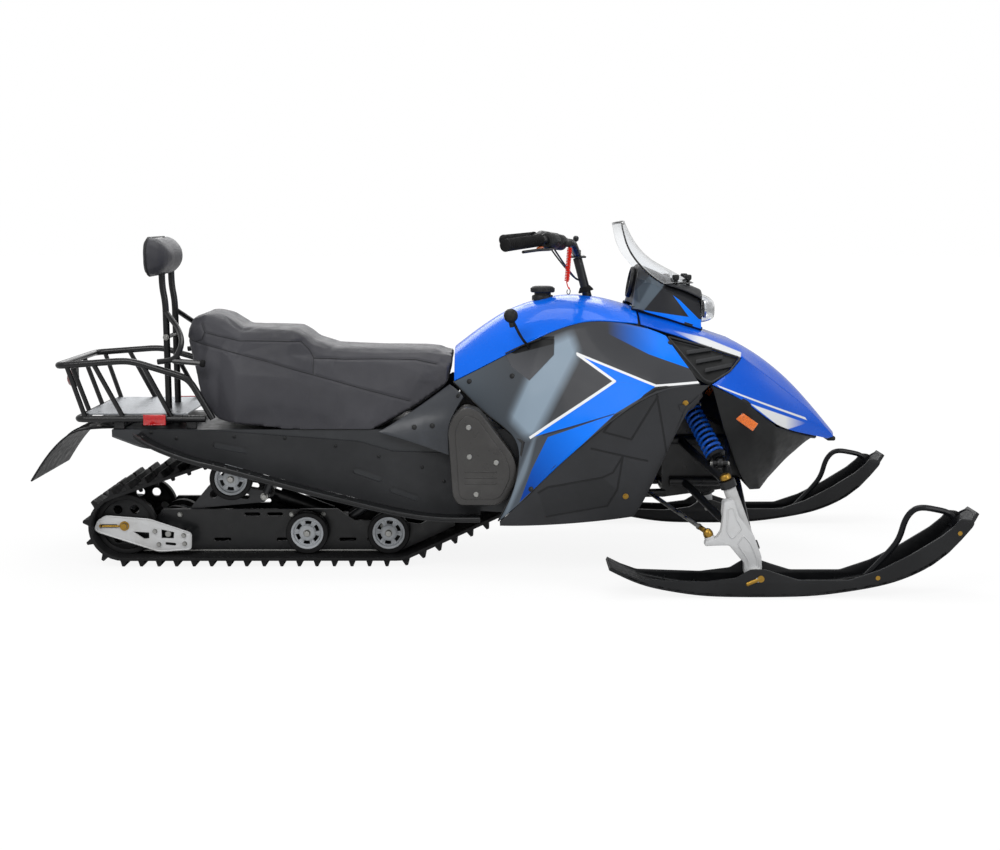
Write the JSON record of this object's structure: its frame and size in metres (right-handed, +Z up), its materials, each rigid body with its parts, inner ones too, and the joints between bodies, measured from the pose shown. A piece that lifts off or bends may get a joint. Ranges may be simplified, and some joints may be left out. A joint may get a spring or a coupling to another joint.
{
  "type": "snowmobile",
  "caption": "Small utility snowmobile with a rubber track on a sliding skid, steered skis, long seat with a backrest, tube rear rack and a clear windshield.",
  "frame": {"origin": "centre of the footprint box on the ground under the machine", "axes": "+X forward, +Y to the rider's left, +Z up"},
  "size_m": [2.56, 1.05, 0.968],
  "materials": {
    "body_blue": "gloss moulded panel",
    "body_grey": "silver grey to black moulded panel",
    "plastic_black": "grained black moulding",
    "frame_black": "satin black paint",
    "tunnel_metal": "satin charcoal paint",
    "track_rubber": "matt black rubber",
    "wheel_grey": "grey wheels with black rubber rims",
    "idler_black": "satin black",
    "alloy_white": "white painted alloy",
    "arm_metal": "satin grey paint",
    "shock_blue": "gloss blue spring",
    "shock_dark": "satin black damper",
    "seat_cover": "black padded vinyl",
    "pad_cover": "black padded vinyl",
    "rack_steel": "gloss black powder coat",
    "plate_alloy": "brushed sheet",
    "flap_rubber": "flexible flap",
    "lamp_red": "red lens",
    "reflector_red": "prismatic lens",
    "lamp_clear": "clear lens over a chrome reflector",
    "shield_clear": "clear sheet",
    "gauge_black": "blank dial face",
    "engine_grey": "plain block",
    "grip_rubber": "ribbed grips",
    "switch_black": "moulded housings",
    "cord_red": "red sheathed cord",
    "rod_gold": "yellow zinc plate",
    "ski_plastic": "black plastic skin"
  },
  "bodies": {
    "sled": {"tunnel": "tunnel_metal", "side_covers": "plastic_black", "running_boards": "frame_black", "belly_pan": "plastic_black", "front_frame": "frame_black", "engine": "engine_grey", "track": "track_rubber", "slide_rails": "frame_black", "rear_plates": "alloy_white", "bogie_wheels": "wheel_grey", "carrier_wheels": "wheel_grey", "rear_idlers": "idler_black", "drive_axle": "idler_black", "suspension_arms": "arm_metal", "rear_shock": "shock_dark", "seat": "seat_cover", "backrest_frame": "rack_steel", "backrest_pad": "pad_cover", "rear_rack": "rack_steel", "rack_base": "rack_steel", "rack_plate": "plate_alloy", "snow_flap": "flap_rubber", "tail_light": "lamp_red", "reflectors": "reflector_red", "tank_cover": "body_blue", "hood": "body_blue", "nose_lower": "plastic_black", "side_panels": "body_grey", "belly_panels": "plastic_black", "side_vents": "plastic_black", "belt_covers": "plastic_black", "trim_panels": "plastic_black", "dash_pod": "plastic_black", "gauge": "gauge_black", "headlight": "lamp_clear", "windshield": "shield_clear", "fuel_cap": "plastic_black", "gear_lever": "plastic_black", "a_arms": "frame_black", "front_shocks": "shock_blue"},
    "steering": {"steering_column": "frame_black", "handlebar": "frame_black", "grips": "grip_rubber", "controls": "switch_black", "lanyard_coil": "cord_red", "lanyard_cord": "cord_red"},
    "spindle_right": {"spindle_right": "alloy_white"},
    "tie_rod_right": {"tie_rod_right": "rod_gold"},
    "ski_right": {"ski_right": "ski_plastic"},
    "spindle_left": {"spindle_left": "alloy_white"},
    "tie_rod_left": {"tie_rod_left": "rod_gold"},
    "ski_left": {"ski_left": "ski_plastic"}
  },
  "joints": [
    {"name": "steer", "type": "hinge", "parent": "sled", "child": "steering", "pos_m": [0.285, 0, 0.766], "axis": [-0.2588, 0, 0.9659], "range_deg": [-35, 35]},
    {"name": "spindle_turn_right", "type": "hinge", "parent": "sled", "child": "spindle_right", "pos_m": [0.704, -0.4, 0.112], "axis": [-0.3584, 0, 0.9336], "range_deg": [-25, 25]},
    {"name": "tie_rod_swing_right", "type": "hinge", "parent": "spindle_right", "child": "tie_rod_right", "pos_m": [0.58406, -0.436, 0.15427], "axis": [-0.3584, 0, 0.9336], "range_deg": [-24, 24]},
    {"name": "ski_rock_right", "type": "hinge", "parent": "spindle_right", "child": "ski_right", "pos_m": [0.705, -0.46, 0.047], "axis": [0, 1, 0], "range_deg": [-15, 8]},
    {"name": "spindle_turn_left", "type": "hinge", "parent": "sled", "child": "spindle_left", "pos_m": [0.704, 0.4, 0.112], "axis": [-0.3584, 0, 0.9336], "range_deg": [-25, 25]},
    {"name": "tie_rod_swing_left", "type": "hinge", "parent": "spindle_left", "child": "tie_rod_left", "pos_m": [0.58406, 0.436, 0.15427], "axis": [-0.3584, 0, 0.9336], "range_deg": [-24, 24]},
    {"name": "ski_rock_left", "type": "hinge", "parent": "spindle_left", "child": "ski_left", "pos_m": [0.705, 0.46, 0.047], "axis": [0, 1, 0], "range_deg": [-15, 8]}
  ],
  "couplings": [
    {"joint": "spindle_turn_right", "follows": "steer", "ratio": 0.681},
    {"joint": "tie_rod_swing_right", "follows": "steer", "ratio": -0.66},
    {"joint": "spindle_turn_left", "follows": "steer", "ratio": 0.681},
    {"joint": "tie_rod_swing_left", "follows": "steer", "ratio": -0.66}
  ]
}
